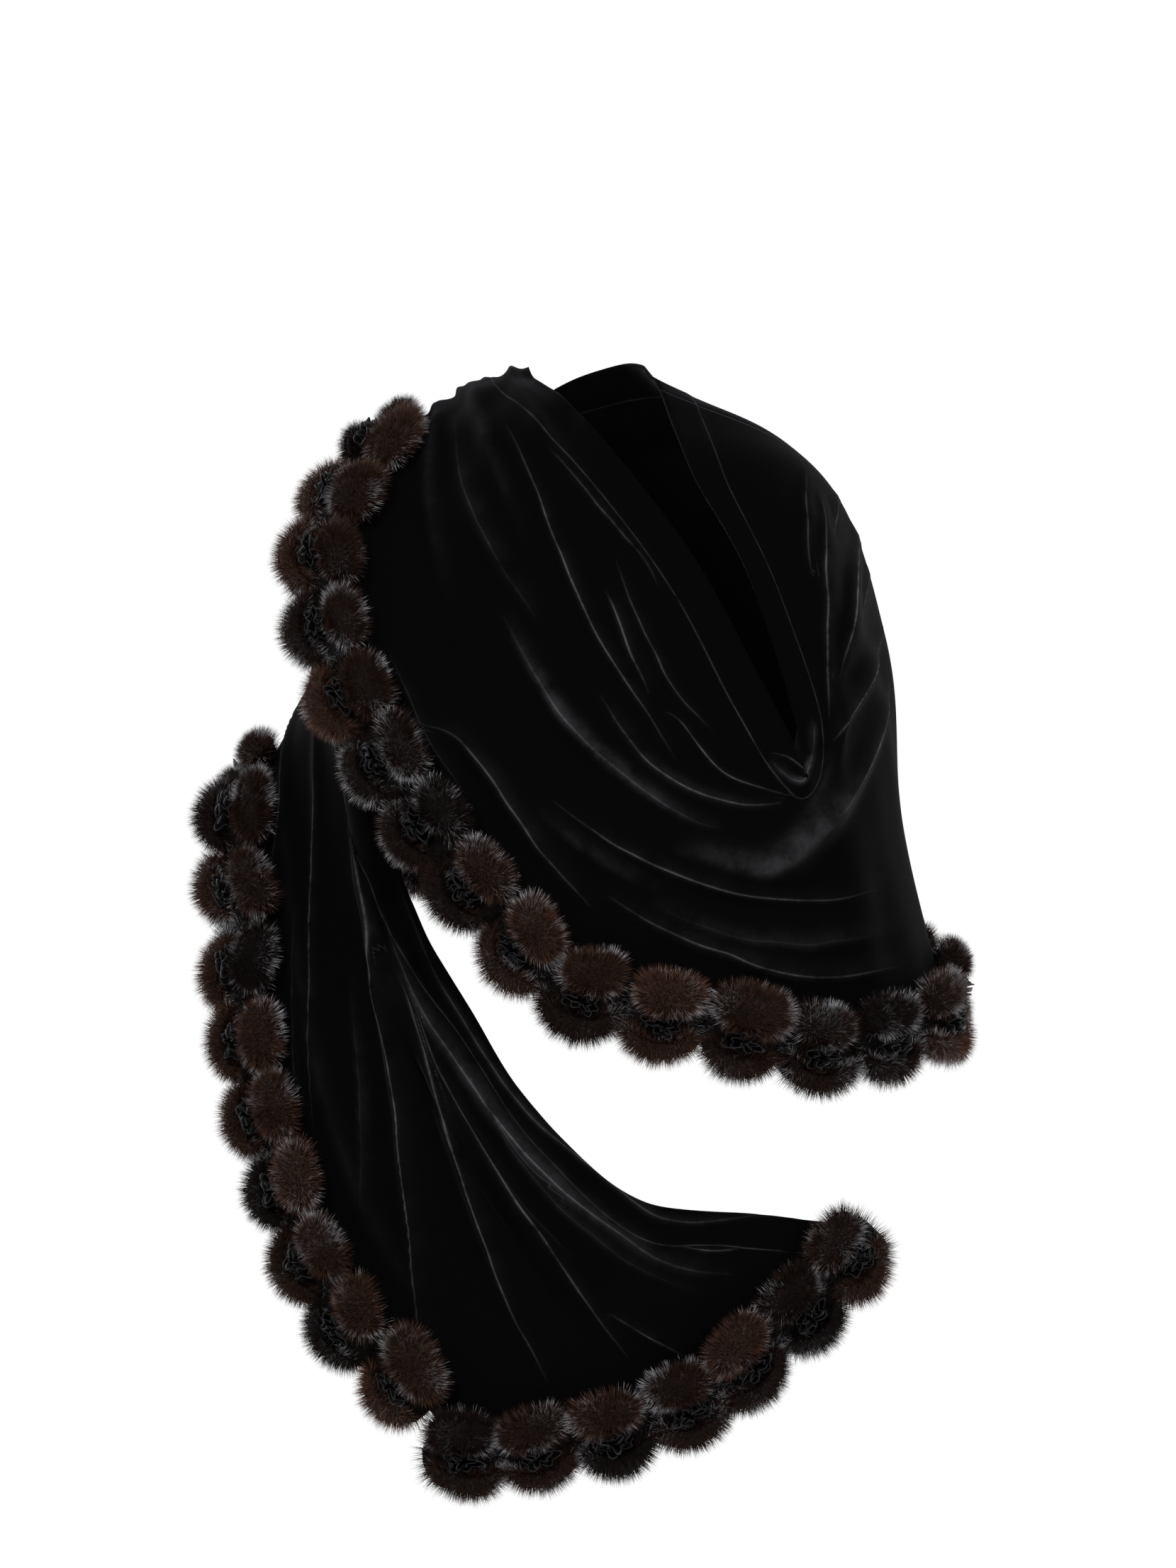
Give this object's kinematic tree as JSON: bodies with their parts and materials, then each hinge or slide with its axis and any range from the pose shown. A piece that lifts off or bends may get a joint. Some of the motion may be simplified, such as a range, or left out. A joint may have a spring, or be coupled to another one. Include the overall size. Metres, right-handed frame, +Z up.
{
  "type": "evening stole",
  "caption": "Long velvet stole wound over both shoulders, with a cowl at the front, one end held low in pleats and fur rosettes along its edge and ends.",
  "frame": {"origin": "base of the neck, midway between the two shoulders that carry the stole", "axes": "+X to the viewer's right, +Y away from the viewer, +Z up, as worn"},
  "size_m": [0.6826, 0.4717, 0.9681],
  "materials": {
    "velvet": "black silk velvet, deep black with a soft grey sheen where it turns away",
    "fur": "dark brown dyed fur, dense, with black and silvery guard hairs"
  },
  "bodies": {
    "root": {"back_wrap": "velvet", "front_fall": "velvet", "front_wrap": "velvet", "fur_rosette_01": "fur", "fur_rosette_02": "fur", "fur_rosette_03": "fur", "fur_rosette_04": "fur", "fur_rosette_05": "fur", "fur_rosette_06": "fur", "fur_rosette_07": "fur", "fur_rosette_08": "fur", "fur_rosette_09": "fur", "fur_rosette_10": "fur", "fur_rosette_11": "fur", "fur_rosette_12": "fur", "fur_rosette_13": "fur", "fur_rosette_14": "fur", "fur_rosette_15": "fur", "fur_rosette_16": "fur", "fur_rosette_17": "fur", "fur_rosette_18": "fur", "fur_rosette_19": "fur", "fur_rosette_20": "fur", "fur_rosette_21": "fur", "fur_rosette_22": "fur", "fur_rosette_23": "fur", "fur_rosette_24": "fur", "fur_rosette_25": "fur", "fur_rosette_26": "fur", "fur_rosette_27": "fur", "fur_rosette_28": "fur", "fur_rosette_29": "fur", "fur_rosette_30": "fur", "fur_rosette_31": "fur", "fur_rosette_32": "fur", "fur_rosette_33": "fur", "fur_rosette_34": "fur", "fur_rosette_35": "fur", "fur_rosette_36": "fur", "fur_rosette_37": "fur", "fur_rosette_38": "fur", "fur_rosette_39": "fur", "fur_rosette_40": "fur", "fur_rosette_41": "fur", "fur_rosette_42": "fur", "fur_rosette_43": "fur", "fur_rosette_44": "fur", "fur_rosette_45": "fur", "fur_rosette_46": "fur", "fur_rosette_47": "fur", "fur_rosette_48": "fur", "fur_rosette_49": "fur", "fur_rosette_50": "fur", "fur_rosette_51": "fur", "shoulder_tail": "velvet"}
  },
  "joints": []
}
